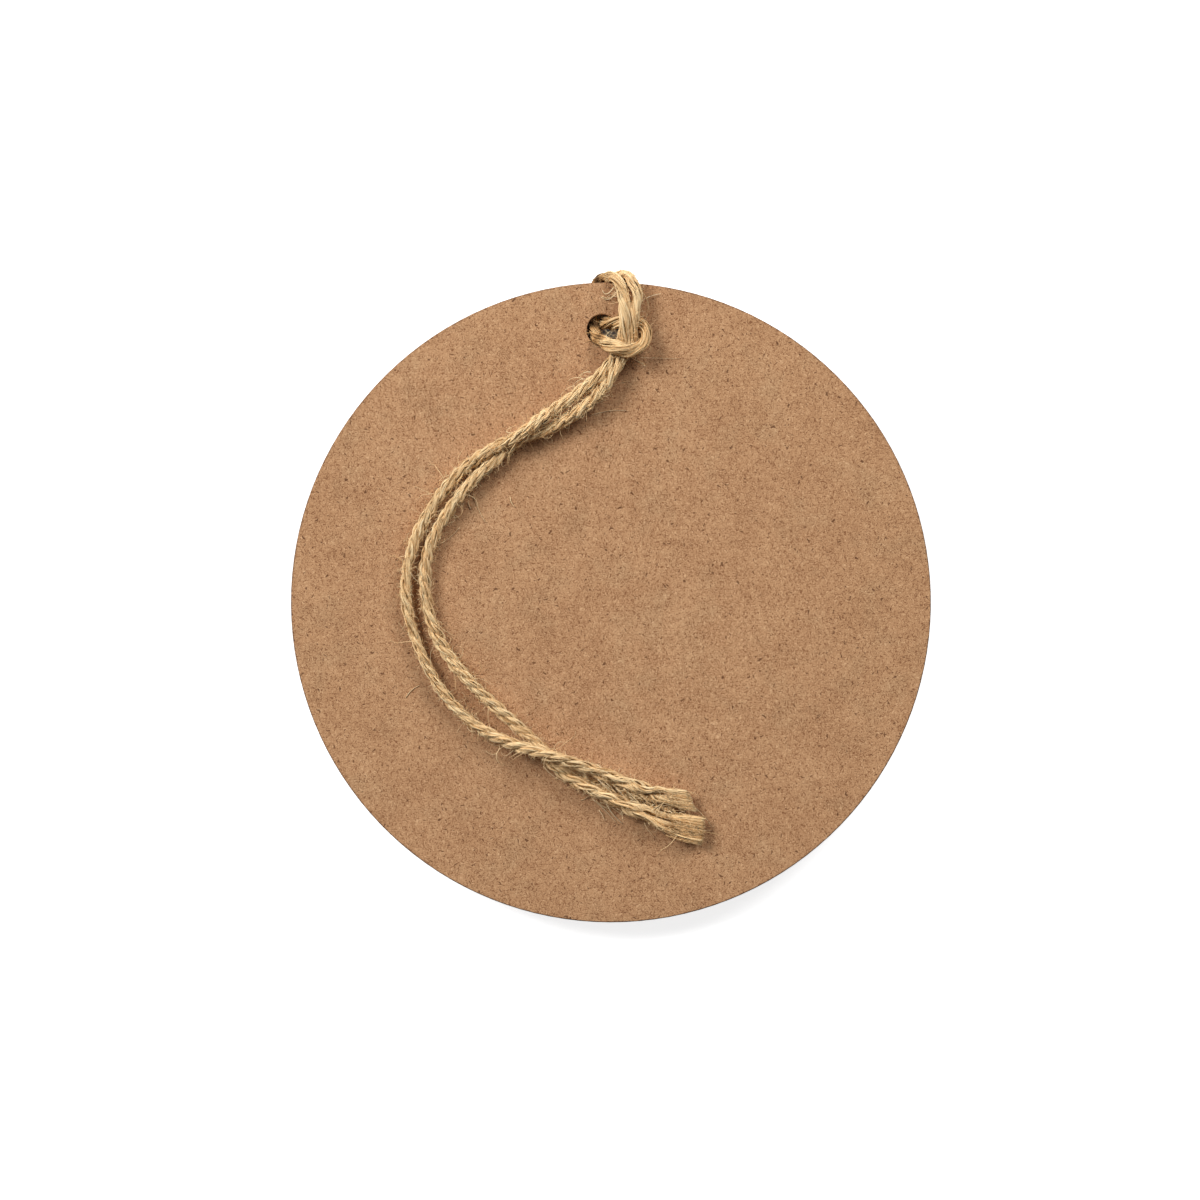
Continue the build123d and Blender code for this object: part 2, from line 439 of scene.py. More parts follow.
def openEnd(end, last):
    # the twist stops where the brush starts, and from there each ply spreads to its own part of the cut
    rng = np.random.default_rng(end["openSeed"])
    left = np.abs(run - run[last])
    rings = np.flatnonzero(left < end["length"])
    left = left[rings] / end["length"]
    first = rings[-1] if last == 0 else rings[0]
    outward, across = endAxes(last)
    away = fibreLine[:, first] - centre[first]
    plies = twine["plies"]
    sideways = (away @ across).reshape(plies, perPly)
    plyMiddle = np.repeat((2 * ranked(sideways.mean(1)) + 1) / plies - 1, perPly)
    inPly = ranked(sideways + rng.normal(0, brush["sideMix"], sideways.shape)).ravel()
    inPly = (2 * (inPly + 0.5) / perPly - 1) + rng.normal(0, brush["placeMix"], len(away))
    layer = ranked(away[:, 2] + rng.normal(0, brush["heightMix"], len(away)))
    layer = layer / (len(away) - 1) * 2 - 1
    grown = 1 - left ** brush["opening"]
    bunch = brush["bunched"] + (1 - brush["bunched"]) * smoothStep(1 - left / brush["fansFrom"])
    rank = plyMiddle[:, None] + inPly[:, None] * bunch[None] / plies
    wide = rank * end["halfWidth"]
    fall = brush["crownFall"]
    crown = np.sqrt(np.clip(brush["crown"] - fall * rank**2 - fall * inPly[:, None] ** 2, 0, 1))
    crown = end["depth"] * crown * layer[:, None] - end["sink"]
    trim = (wide * end["slant"] + rng.normal(0, brush["cutMix"], (len(away), 1))) * grown[None]
    spread = across * wide[:, :, None] + up * crown[:, :, None] + outward * trim[:, :, None]
    twisted = fibreLine[:, rings] - centre[None, rings]
    fibreLine[:, rings] += (spread - twisted) * grown[None, :, None]
    fibreRadius[np.ix_(isCore, rings)] *= 1 - brush["coreThins"] * grown[None]
    fibreShade[:, rings] *= 1 - brush["dull"] * grown[None]


def brushFibres(end, last):
    # fine straight fibres that fill the brush, as lines, radii and shades
    rng = np.random.default_rng(end["brushSeed"])
    inward = slice(None) if last == 0 else slice(None, None, -1)
    left = np.abs(run - run[last])[inward]
    spineLine = centre[inward]
    outward, across = endAxes(last)
    lines, radii, shades = [], [], []
    for _ in range(brush["fibres"]):
        rank = rng.uniform(-1, 1)
        at = np.linspace(end["length"] * rng.uniform(*brush["reach"]), 0, brush["points"])
        spine = np.stack([np.interp(at, left, spineLine[:, k]) for k in range(3)], 1)
        grown = 1 - (at / end["length"]) ** brush["opening"]
        half = brush["rootWidth"] * twine["diameter"] / 2 * (1 - grown) + end["halfWidth"] * grown
        height = rng.uniform(*brush["heights"]) * math.sqrt(max(brush["arch"] - rank**2, brush["leastArch"]))
        rise = height * (twine["diameter"] / 2 * (1 - grown) + end["depth"] * grown) - end["sink"] * grown
        trim = (rank * end["halfWidth"] * end["slant"] + rng.normal(0, brush["fineCut"])) * grown
        line = spine + across * (rank * half)[:, None] + up * rise[:, None] + outward * trim[:, None]
        line = line + rng.normal(0, brush["waver"], line.shape)
        line[:, 2] = np.maximum(line[:, 2], boardTop + brush["radius"])
        lines.append(line)
        radii.append(np.full(brush["points"], brush["radius"] * rng.uniform(*brush["sizes"])))
        shades.append(np.full(brush["points"], rng.uniform(*end["shades"])))
    return lines, radii, shades


def settle(first, last):
    # a free tail flattens a little where it presses on the board
    part = fibreLine[:, first:last + 1, 2]
    part[:] = np.maximum(part, boardTop + twine["pressed"] * fibreRadius[:, first:last + 1])


openEnd(cutEnds["outer"], 0)
openEnd(cutEnds["inner"], lastRing)
settle(0, outerSplit)
settle(innerSplit, lastRing)
print("fibres spun,", len(fibreLine))


def tubes(name, lines, radii, shades, sides=3):
    # one mesh of closed tubes, each along its own line, with a shade at every point
    places, faces, values = [], [], []
    base = 0
    for line, radius, shade in zip(lines, radii, shades):
        count = len(line)
        _, u, v = carriedFrames(line)
        angle = 2 * math.pi * np.arange(sides) / sides
        wall = u[:, None] * np.cos(angle)[None, :, None] + v[:, None] * np.sin(angle)[None, :, None]
        places.append((line[:, None] + wall * radius[:, None, None]).reshape(-1, 3))
        values.append(np.repeat(shade, sides))
        row = np.arange(count - 1)[:, None] * sides
        k = np.arange(sides)[None]
        after = (k + 1) % sides
        quads = np.stack([row + k, row + after, row + sides + after, row + sides + k], 2)
        faces.extend((quads.reshape(-1, 4) + base).tolist())
        faces.append((np.arange(sides)[::-1] + base).tolist())
        faces.append((np.arange(sides) + base + (count - 1) * sides).tolist())
        base += count * sides
    mesh = bpy.data.meshes.new(name)
    mesh.from_pydata(np.concatenate(places).tolist(), [], faces)
    mesh.shade_smooth()
    shadeLayer = mesh.attributes.new("shade", "FLOAT", "POINT")
    shadeLayer.data.foreach_set("value", np.concatenate(values).astype(np.float32))
    piece = bpy.data.objects.new(name, mesh)
    bpy.context.collection.objects.link(piece)
    return piece


def cutFibres(first, last):
    part = slice(first, last + 1)
    return list(fibreLine[:, part]), list(fibreRadius[:, part]), list(fibreShade[:, part])


def withBrush(spun, brushed):
    return [plain + fine for plain, fine in zip(spun, brushed)]


outerBrush = brushFibres(cutEnds["outer"], 0)
innerBrush = brushFibres(cutEnds["inner"], lastRing)
outerTail = tubes("outerTail", *withBrush(cutFibres(0, outerSplit), outerBrush))
hitchTwine = tubes("hitchTwine", *cutFibres(outerSplit, innerSplit))
innerTail = tubes("innerTail", *withBrush(cutFibres(innerSplit, lastRing), innerBrush))
print("twine meshes made")

# Stray fibres: short hairs all along, longer ones that lift off or lie on the board, and some listed one by
# one
stray = {
    "kinds": [
        # per millimetre of twine, shortest and longest in millimetres, thickness, curl, where they start as
        # shares of the diameter, and how far they stand off the twine
        {"density": 6, "short": 0.8, "long": 2.2, "radius": 0.04 * mm, "curl": 0.3,
         "root": (0.46, 0.52), "lift": (-0.1, 0.25)},
        {"density": 9, "short": 0.3, "long": 1.3, "radius": 0.038 * mm, "curl": 0.25,
         "root": (0.36, 0.46), "lift": (0.3, 1.3)},
        {"density": 0.75, "short": 1.6, "long": 4.2, "radius": 0.056 * mm, "curl": 0.2,
         "root": (0.36, 0.46), "lift": (0.3, 1.3)},
        {"density": 0.13, "short": 4.0, "long": 8.0, "radius": 0.056 * mm, "curl": 0.18,
         "root": (0.36, 0.46), "lift": (0.3, 1.3)},
    ],
    "inKnot": 0.5,              # share of them along the knot
    "points": 9,
    "clear": 0.06 * mm,         # above the board
    "droop": 0.12,
    "laidRadius": 0.115 * mm,
    "tangled": 190,             # loose fibres in the gap between the two tails, near their ends
    "tangledReach": (3.5, 22),  # how far from the ends these lie, in millimetres
    "tangledRadius": 0.085 * mm,
    "tangledSlip": (-4, 4),     # from one end of such a fibre to the other, along the tails
    "tangledLeast": 2,          # nearest to the cut ends
    "tangledAcross": (0.1, 0.9),
    "tangledHeights": (0.5, 2.2),
    "tangledBow": 0.3 * mm,
    "lean": (0.3, 1),           # how far a fibre leans along the twine
    "scatter": 0.25,
    "waver": 0.12,
    "taper": 0.45,              # thickness at the tip, as a share of the root
    "sizes": (0.7, 1.2),
    "laidSizes": (0.45, 1.1),
    "shades": (0.3, 0.85),
    "laidShades": (0.7, 1),
    "tangledShades": (0.1, 1),
    "bareRings": 12,            # of each tail beside the knot
    "seeds": {"outer": 31, "hitch": 32, "inner": 33, "tangled": 34},
}
# each laid fibre is three points: x, y and the height over the board, in millimetres
knotFibres = [
    [(6.2, 48.3, 1.0), (7.2, 46.6, 0.9), (7.0, 44.9, 0.6)],
    [(7.0, 44.9, 0.6), (6.9, 44.2, 0.6), (6.5, 44.0, 1.0)],
    [(6.1, 46.4, 1.2), (7.1, 47.3, 0.7), (9.3, 47.9, 0.2)],
    [(5.7, 44.5, 1.6), (6.1, 44.2, 1.8), (6.6, 44.4, 1.8)],
    [(0.0, 42.0, -1.2), (0.7, 41.6, -0.6), (1.4, 40.9, 0.3)],
    [(1.1, 41.6, -0.5), (1.5, 42.2, -0.3), (2.2, 42.5, 0.2)],
    [(0.3, 42.9, -0.8), (1.0, 42.0, -0.3), (1.9, 41.6, 0.3)],
    [(2.8, 38.3, 1.4), (3.2, 37.5, 0.9), (3.8, 36.7, 0.3)],
    [(3.7, 38.4, 1.2), (5.1, 37.6, 0.6), (6.5, 36.7, 0.1)],
    [(5.7, 38.0, 0.8), (7.6, 37.9, 0.3), (12.0, 37.7, 0)],
    [(2.0, 49.0, 1.2), (0.9, 48.1, 0.3), (0.2, 48.7, 0.2)],
    [(2.3, 48.3, 0.9), (1.2, 47.3, 0.2), (-0.1, 47.7, 0)],
    [(2.1, 47.6, 0.8), (1.3, 47.9, 0.5), (0.5, 47.1, 0.1)],
    [(-32.5, -13.9, 0), (-31.5, -12.7, 0.1), (-30.2, -12.0, 0)],
    [(-15.2, 16.9, 0), (-15.0, 16.0, 0.1), (-14.4, 15.3, 0)],
    [(5.2, 37.6, 0.1), (6.0, 37.2, 0), (6.6, 36.7, 0)],
    [(0.2, 47.8, 0.2), (0.9, 47.5, 0), (2.4, 48.1, 0.4)],
]
outerFibres = [
    [(-2.0, 35.9, 1.2), (-3.0, 35.9, 0.9), (-4.0, 35.3, 0.4)],
    [(-2.9, 34.9, 1.2), (-4.2, 34.6, 0.8), (-5.0, 33.4, 0.2)],
    [(-4.6, 33.9, 1.0), (-5.8, 33.5, 0.6), (-6.9, 32.5, 0.2)],
    [(-3.3, 35.0, 0.9), (-4.6, 35.2, 0.5), (-5.6, 34.7, 0.1)],
    [(-31.1, 5.7, 1.7), (-30.5, 4.8, 1.6), (-29.7, 4.0, 1.5)],
    [(5.1, -32.8, 1.8), (6.1, -32.0, 2.1), (7.2, -31.4, 1.9)],
    [(4.5, -32.3, 1.8), (5.4, -31.8, 2.1), (6.2, -31.1, 1.9)],
    [(10.9, -30.9, 1.0), (11.6, -31.7, 0.9), (12.3, -32.7, 0.6)],
    [(1.0, -29.0, 2.0), (2.7, -30.5, 2.1), (4.2, -32.2, 1.8)],
    [(-0.1, -28.9, 2.0), (1.6, -30.7, 2.1), (3.4, -32.6, 1.8)],
    [(6.7, -32.0, 1.9), (5.9, -32.9, 2.1), (7.1, -33.8, 1.8)],
    [(3.6, -30.2, 2.0), (4.5, -31.0, 2.1), (5.2, -32.5, 1.8)],
    [(-2.9, -27.4, 2.0), (-1.9, -28.4, 2.2), (-0.9, -29.5, 1.8)],
    [(-2.3, -27.3, 2.0), (-1.2, -28.4, 2.2), (-0.1, -29.6, 1.8)],
    [(8.2, -32.6, 1.2), (9.8, -32.7, 1.3), (11.8, -32.6, 0.8)],
    [(8.8, -31.9, 1.3), (10.0, -32.7, 1.2), (10.9, -33.6, 1.0)],
]
innerFibres = [
    [(4.1, -34.4, 0.9), (4.7, -35.7, 0.7), (5.8, -37.0, 0.2)],
    [(-3.7, -30.7, 0.4), (-2.3, -32.0, 0.2), (0.05, -34.7, 0)],
    [(-2.6, -31.1, 0.5), (-1.0, -31.9, 0.3), (0.65, -33.2, 0.2)],
    [(-2.85, -32.35, 0.1), (-2.3, -33.3, 0.2), (-2.1, -34.05, 0)],
    [(-1.5, -31.7, 0.4), (-0.6, -33.2, 0.2), (0.9, -34.7, 0)],
    [(5.9, -35.4, 0.4), (6.7, -35.8, 0.3), (7.4, -36.5, 0)],
    [(12.3, -32.6, 0.6), (13.6, -34.0, 0.6), (14.6, -35.4, 0.3)],
    [(13.2, -36.1, 0.5), (13.9, -36.0, 0.4), (14.6, -36.1, 0.2)],
    [(-11.3, -25.2, 0.6), (-9.9, -26.7, 0.7), (-7.9, -27.8, 0.3)],
    [(2.0, -30.9, 2.0), (3.6, -31.5, 2.1), (4.8, -32.8, 1.8)],
    [(9.3, -33.3, 1.2), (10.6, -32.8, 1.3), (12.2, -33.0, 0.8)],
    [(7.6, -32.2, 1.3), (9.0, -32.9, 1.3), (10.2, -33.7, 1.2)],
    [(-3.3, -30.8, 0.3), (-2.1, -31.8, 0.2), (-0.8, -32.4, 0.1)],
    [(-26.3, 13.7, 0.8), (-24.8, 14.7, 0.3), (-23.7, 16.0, 0.2)],
    [(-21.0, 17.9, 0.3), (-20.3, 15.4, 0), (-19.1, 13.0, 0.1)],
    [(-26.9, 9.8, 0.1), (-25.0, 10.8, 0), (-23.2, 12.5, 0.2)],
    [(-2.4, 29.3, 0), (0.8, 29.9, 0), (3.6, 29.8, 0.1)],
    [(-21.8, 16.5, 0.3), (-21.7, 15.9, 0.1), (-21.4, 15.3, 0.1)],
    [(-23.9, 14.4, 0.4), (-23.5, 14.1, 0.2), (-23.2, 13.6, 0)],
    [(-5.6, -30.7, 0), (-4.8, -30.4, 0.1), (-4.2, -29.8, 0.5)],
]


def keepOff(point, onFront):
    # a fibre over the board stays off its face, and one behind it off the floor
    x, y, z = point
    if math.hypot(x, y) < discRadius + stray["clear"]:
        z = max(z, boardTop + stray["clear"]) if onFront else min(z, boardBottom - stray["clear"])
    return np.array((x, y, max(z, lowest + stray["clear"])))


def growStray(rng, ring, kind):
    turn = rng.uniform(0, 2 * math.pi)
    outward = side[ring] * math.cos(turn) + over[ring] * math.sin(turn)
    point = centre[ring] + outward * twine["diameter"] * fullness[ring] * rng.uniform(*kind["root"])
    onFront = centre[ring][2] > 0
    way = along[ring] * rng.choice((-1, 1)) * rng.uniform(*stray["lean"])
    way = way + outward * rng.uniform(*kind["lift"])
    way = way + rng.normal(0, stray["scatter"], 3)
    length = rng.uniform(kind["short"], kind["long"]) * mm
    bend = rng.normal(0, kind["curl"], 3)
    points = [point]
    for _ in range(stray["points"] - 1):
        way = way / np.linalg.norm(way)
        point = keepOff(point + way * length / (stray["points"] - 1), onFront)
        points.append(point)
        way = way + np.cross(bend, way) + rng.normal(0, stray["waver"], 3)
        way[2] -= stray["droop"] if onFront else 0
    return np.array(points)


def bowed(start, middle, end):
    # a smooth bow that passes through its middle point half way
    pull = 2 * middle - (start + end) / 2
    t = np.linspace(0, 1, stray["points"])[:, None]
    return start * (1 - t) ** 2 + pull * 2 * t * (1 - t) + end * t**2


def laidLines(fibres):
    base = boardTop + stray["clear"]
    return [bowed(*[np.array((x * mm, y * mm, base + z * mm)) for x, y, z in fibre]) for fibre in fibres]


def tangledLines(rng):
    # fibres that have come loose in the gap between the two tails
    lines = []
    for _ in range(stray["tangled"]):
        back = rng.uniform(*stray["tangledReach"])
        ends = []
        for left in (back, max(back + rng.uniform(*stray["tangledSlip"]), stray["tangledLeast"])):
            ring = round(left * mm / twine["ringStep"])
            gap = centre[lastRing - ring] - centre[ring]
            place = centre[ring] + gap * rng.uniform(*stray["tangledAcross"])
            place[2] = boardTop + rng.uniform(*stray["tangledHeights"]) * mm
            ends.append(place)
        middle = (ends[0] + ends[1]) / 2 + rng.normal(0, stray["tangledBow"], 3)
        middle[2] = max(middle[2], boardTop + stray["clear"])
        lines.append(bowed(ends[0], middle, ends[1]))
    return lines


def strayFibres(name, first, last, laid, seed, share=1, tangled=()):
    rng = np.random.default_rng(seed)
    lines, radii, shades = [], [], []
    length = (run[last] - run[first]) / mm
    taper = np.linspace(1, stray["taper"], stray["points"])

    # light is the painted shade factor of the twine where a fibre starts
    def addFibre(line, radius, sizes, shadeRange, light=1):
        lines.append(line)
        radii.append(radius * rng.uniform(*sizes) * taper)
        shades.append(np.full(stray["points"], rng.uniform(*shadeRange) * light))

    for kind in stray["kinds"]:
        for _ in range(round(share * kind["density"] * length)):
            ring = int(rng.integers(first, last))
            line = growStray(rng, ring, kind)
            # the hairs take the painted shade of the twine where they start
            addFibre(line, kind["radius"], stray["sizes"], stray["shades"], paintedShadeFactor[ring])
    for line in laid:
        addFibre(line, stray["laidRadius"], stray["laidSizes"], stray["laidShades"])
    for line in tangled:
        addFibre(line, stray["tangledRadius"], stray["sizes"], stray["tangledShades"])
    return tubes(name, lines, radii, shades)


seeds = stray["seeds"]
outerStrays = strayFibres("outerStrays", 0, outerSplit - stray["bareRings"],
                          laidLines(outerFibres), seeds["outer"])
hitchStrays = strayFibres("hitchStrays", outerSplit, innerSplit,
                          laidLines(knotFibres), seeds["hitch"], stray["inKnot"])
innerStrays = strayFibres("innerStrays", innerSplit + stray["bareRings"], lastRing, laidLines(innerFibres),
                          seeds["inner"], tangled=tangledLines(np.random.default_rng(seeds["tangled"])))
print("stray fibres made")


# Materials
class Nodes:
    # a few short ways to add nodes to one material
    def __init__(self, name):
        self.material = bpy.data.materials.new(name)
        self.material.use_nodes = True
        self.tree = self.material.node_tree
        self.shader = self.tree.nodes["Principled BSDF"]

    def add(self, kind, inputs=None, **settings):
        node = self.tree.nodes.new(kind)
        for key, value in settings.items():
            setattr(node, key, value)
        for key, value in (inputs or {}).items():
            self.put(node.inputs[key], value)
        return node

    def put(self, socket, value):
        if isinstance(value, bpy.types.NodeSocket):
            self.tree.links.new(value, socket)
        else:
            socket.default_value = value

    def math(self, operation, *values):
        node = self.add("ShaderNodeMath", operation=operation)
        for socket, value in zip(node.inputs, values):
            self.put(socket, value)
        return node.outputs[0]

    def vector(self, operation, first, second):
        inputs = {0: first, "Scale" if operation == "SCALE" else 1: second}
        return self.add("ShaderNodeVectorMath", inputs, operation=operation).outputs

    def noise(self, vector, scale, detail, rough=0.5):
        inputs = {"Vector": vector, "Scale": scale, "Detail": detail, "Roughness": rough}
        return self.add("ShaderNodeTexNoise", inputs).outputs["Fac"]

    def ranged(self, value, low, high, toLow, toHigh):
        inputs = {"Value": value, "From Min": low, "From Max": high, "To Min": toLow, "To Max": toHigh}
        return self.add("ShaderNodeMapRange", inputs).outputs["Result"]

    def ramp(self, value, stops):
        node = self.add("ShaderNodeValToRGB", {"Fac": value})
        band = node.color_ramp.elements
        while len(band) < len(stops):
            band.new(0.5)
        for element, (position, colour) in zip(band, stops):
            element.position = position
            element.color = (*colour, 1)
        return node.outputs["Color"]

    def mix(self, factor, a, b, blend="MIX"):
        # inputs 6 and 7 of this node are its two colours, and output 2 is the mixed one
        node = self.add("ShaderNodeMix", data_type="RGBA", blend_type=blend)
        self.put(node.inputs["Factor"], factor)
        for socket, value in ((node.inputs[6], a), (node.inputs[7], b)):
            self.put(socket, value if isinstance(value, bpy.types.NodeSocket) else (*value, 1))
        return node.outputs[2]


juteLook = {
    "colours": [
        # shade from 0 to 1, and its colour
        (0.0, srgb(80, 53, 31)),
        (0.2, srgb(212, 167, 112)),
        (0.5, srgb(246, 211, 159)),
        (0.8, srgb(249, 221, 173)),
        (1.0, srgb(250, 227, 185)),
    ],
    "roughness": 0.65,
    "shine": 0.15,
}


def juteMaterial():
    n = Nodes("jute")
    shade = n.add("ShaderNodeAttribute", attribute_name="shade").outputs["Fac"]
    n.put(n.shader.inputs["Base Color"], n.ramp(shade, juteLook["colours"]))
    n.shader.inputs["Roughness"].default_value = juteLook["roughness"]
    n.shader.inputs["Specular IOR Level"].default_value = juteLook["shine"]
    return n.material


board = {
    "dark": srgb(140, 96, 64),
    "middle": srgb(191, 145, 105),
    "light": srgb(222, 179, 136),
    "grey": (0.93, 0.98, 1.0),      # tint of the cooler patches
    "speck": srgb(92, 57, 34),
    "charred": srgb(52, 34, 23),
    "wall": srgb(96, 65, 43),
    "fibres": [
        # cells to a millimetre, half width and half length in millimetres, strength
        {"cells": 1.3, "width": 0.065, "length": 0.4, "strength": 0.58},
        {"cells": 1.8, "width": 0.06, "length": 0.32, "strength": 0.58},
        {"cells": 2.4, "width": 0.058, "length": 0.25, "strength": 0.58},
        {"cells": 3.2, "width": 0.055, "length": 0.2, "strength": 0.58},
    ],
    "fibreTones": (-1.4, 0.9),      # of the darkest and the palest of these fibres
    "fibreShift": 3.7,              # from one layer of fibres to the next
    "bend": {"scale": 1.6, "reach": 0.7},   # of the fibres, so that none is straight
    "clouds": [
        # noise to a millimetre, its detail, the span that is used, and how far it shifts the tone
        {"scale": 0.13, "detail": 3.0, "span": (0.3, 0.7), "shift": 0.07},
        {"scale": 0.6, "detail": 2.0, "span": (0.3, 0.7), "shift": 0.06},
        {"scale": 5.4, "detail": 1.0, "span": (0.2, 0.8), "shift": 0.28},
    ],
    "cooler": {"scale": 0.21, "span": (0.5, 0.72), "share": 0.6},
    "specks": [
        # cells to a millimetre, half width and half length in millimetres, share of the cells without one
        {"cells": 1.25, "width": 0.09, "length": 0.19, "without": 0.9},
        {"cells": 0.62, "width": 0.11, "length": 0.3, "without": 0.87},
        {"cells": 0.33, "width": 0.14, "length": 0.38, "without": 0.82},
    ],
    "speckShift": (1.9, 5.3),       # of the first layer, and from one layer to the next
    "speckEdge": 0.5,               # how soft their edges are
    "speckShare": 0.8,
    "holeCentre": (0, 42.55, 0),    # millimetres, as the other places here
    "rimLine": (49.74, 49.96),      # from the middle, the burnt line
    "rimShare": 0.55,
    "ragged": {"scale": 1.6, "rough": 0.6, "reach": 0.75, "atHole": 0.3},
    "lip": (2.62, 2.5),             # painted highlight round the hole's edge, from outside in
    "lipShare": 0.4,
    "rimWall": (49.93, 49.96),      # where the cut walls start and are whole
    "holeWall": (2.5, 2.47),
    "wallStreaks": {"stretch": (0.35, 0.35, 4.5), "rough": 0.6, "share": 0.6},
    "wallGrain": {"scale": 2.6, "share": 0.4},
    "wallStops": (0.3, 0.5, 0.72),  # of the charred, the brown and the pale tone
    "relief": {"strength": 0.3, "depth": 0.05 * mm, "grain": 4.2, "speck": 0.5},
    "rough": {"scale": 1.4, "span": (0.3, 0.7), "from": 0.78, "to": 0.92},
    "shine": 0.2,
}


def pressedFibres(n, place, fibre, shift):
    # one short fibre in each cell, turned its own way: 1 along its middle, 0 outside, and the cell's traits
    moved = n.vector("ADD", place, (shift, shift, 0))[0]
    inputs = {"Vector": moved, "Scale": fibre["cells"]}
    cells = n.add("ShaderNodeTexVoronoi", inputs, voronoi_dimensions="2D")
    traits = n.add("ShaderNodeSeparateColor", {"Color": cells.outputs["Color"]}).outputs
    away = n.vector("SUBTRACT", moved, cells.outputs["Position"])[0]
    turn = n.math("MULTIPLY", traits["Red"], 2 * math.pi)
    turned = n.add("ShaderNodeVectorRotate", {"Vector": away, "Angle": turn}, rotation_type="Z_AXIS")
    axes = n.add("ShaderNodeSeparateXYZ", {"Vector": turned.outputs[0]}).outputs
    across = n.math("POWER", n.math("ABSOLUTE", n.math("DIVIDE", axes["X"], fibre["width"])), 2)
    length = n.math("POWER", n.math("ABSOLUTE", n.math("DIVIDE", axes["Y"], fibre["length"])), 2)
    return n.ranged(n.math("ADD", across, length), 0, 1, 1, 0), traits


def boardMaterial():
    n = Nodes("fibreboard")
    coords = n.add("ShaderNodeTexCoord").outputs["Object"]
    place = n.vector("SCALE", coords, 1 / mm)[0]

    # a gentle warp, so that no pressed fibre is straight
    bend = board["bend"]
    warp = n.add("ShaderNodeTexNoise", {"Vector": place, "Scale": bend["scale"], "Detail": 1.0})
    warp = n.vector("SUBTRACT", warp.outputs["Color"], (0.5, 0.5, 0.5))[0]
    warp = n.vector("SCALE", warp, bend["reach"])[0]
    bent = n.vector("ADD", place, warp)[0]
    fibres = 0.0
    for number, fibre in enumerate(board["fibres"]):
        body, traits = pressedFibres(n, bent, fibre, board["fibreShift"] * number)
        depth = n.ranged(traits["Green"], 0, 1, *board["fibreTones"])
        fibres = n.math("MULTIPLY_ADD", n.math("MULTIPLY", body, depth), fibre["strength"], fibres)

    # tone from 0 to 1: cloudy patches, fibres and grain
    tone = 0.5
    for cloud in board["clouds"]:
        noise = n.noise(place, cloud["scale"], cloud["detail"])
        tone = n.math("ADD", tone, n.ranged(noise, *cloud["span"], -cloud["shift"], cloud["shift"]))
    tone = n.math("ADD", tone, fibres)
    colour = n.ramp(tone, [(0.0, board["dark"]), (0.5, board["middle"]), (1.0, board["light"])])
    cool = board["cooler"]
    cooler = n.ranged(n.noise(place, cool["scale"], 2.0), *cool["span"], 0, cool["share"])
    colour = n.mix(cooler, colour, n.mix(1.0, colour, board["grey"], "MULTIPLY"))

    # dark specks, fine and coarse
    speck = 0.0
    firstShift, nextShift = board["speckShift"]
    for number, kind in enumerate(board["specks"]):
        body, traits = pressedFibres(n, bent, kind, nextShift * number + firstShift)
        chosen = n.math("GREATER_THAN", traits["Green"], kind["without"])
        near = n.ranged(body, 0, board["speckEdge"], 0, 1)
        speck = n.math("MAXIMUM", n.math("MULTIPLY", chosen, near), speck)
    colour = n.mix(n.math("MULTIPLY", speck, board["speckShare"]), colour, board["speck"])

    # the rim's burnt line, broken here and there, and a painted highlight on the lip of the hole
    axes = n.add("ShaderNodeSeparateXYZ", {"Vector": place}).outputs
    flat = n.add("ShaderNodeCombineXYZ", {"X": axes["X"], "Y": axes["Y"]}).outputs[0]
    fromMiddle = n.add("ShaderNodeVectorMath", {0: flat}, operation="LENGTH").outputs["Value"]
    fromHole = n.vector("DISTANCE", flat, board["holeCentre"])["Value"]
    edge = board["ragged"]
    ragged = n.math("SUBTRACT", n.noise(place, edge["scale"], 3.0, edge["rough"]), 0.5)
    ragged = n.math("MULTIPLY", ragged, edge["reach"])
    rim = n.ranged(n.math("ADD", fromMiddle, ragged), *board["rimLine"], 0, board["rimShare"])
    colour = n.mix(rim, colour, board["charred"])
    holeEdge = n.math("ADD", fromHole, n.math("MULTIPLY", ragged, edge["atHole"]))
    # painted highlight: a pale ring at the hole's edge
    lip = n.ranged(holeEdge, *board["lip"], 0, board["lipShare"])
    colour = n.mix(lip, colour, board["light"])

    # cut walls: brown, with streaks that run with the sheet
    rimWall = n.ranged(fromMiddle, *board["rimWall"], 0, 1)
    isWall = n.math("MAXIMUM", rimWall, n.ranged(fromHole, *board["holeWall"], 0, 1))
    streaks, grain = board["wallStreaks"], board["wallGrain"]
    layers = n.add("ShaderNodeMapping", {"Vector": place, "Scale": streaks["stretch"]}).outputs["Vector"]
    wallTone = n.math("MULTIPLY", n.noise(layers, 1.0, 3.0, streaks["rough"]), streaks["share"])
    wallTone = n.math("MULTIPLY_ADD", n.noise(place, grain["scale"], 2.0), grain["share"], wallTone)
    tones = (board["charred"], board["wall"], board["dark"])
    wallColour = n.ramp(wallTone, list(zip(board["wallStops"], tones)))
    colour = n.mix(isWall, colour, wallColour)
    n.put(n.shader.inputs["Base Color"], colour)

    # a slight relief, and roughness in patches
    relief = board["relief"]
    rise = n.math("ADD", fibres, n.noise(place, relief["grain"], 1.0))
    rise = n.math("SUBTRACT", rise, n.math("MULTIPLY", speck, relief["speck"]))
    inputs = {"Height": rise, "Strength": relief["strength"], "Distance": relief["depth"]}
    bump = n.add("ShaderNodeBump", inputs)
    n.put(n.shader.inputs["Normal"], bump.outputs["Normal"])
    rough = board["rough"]
    patches = n.ranged(n.noise(place, rough["scale"], 2.0), *rough["span"], rough["from"], rough["to"])
    n.put(n.shader.inputs["Roughness"], patches)
    n.shader.inputs["Specular IOR Level"].default_value = board["shine"]
    return n.material


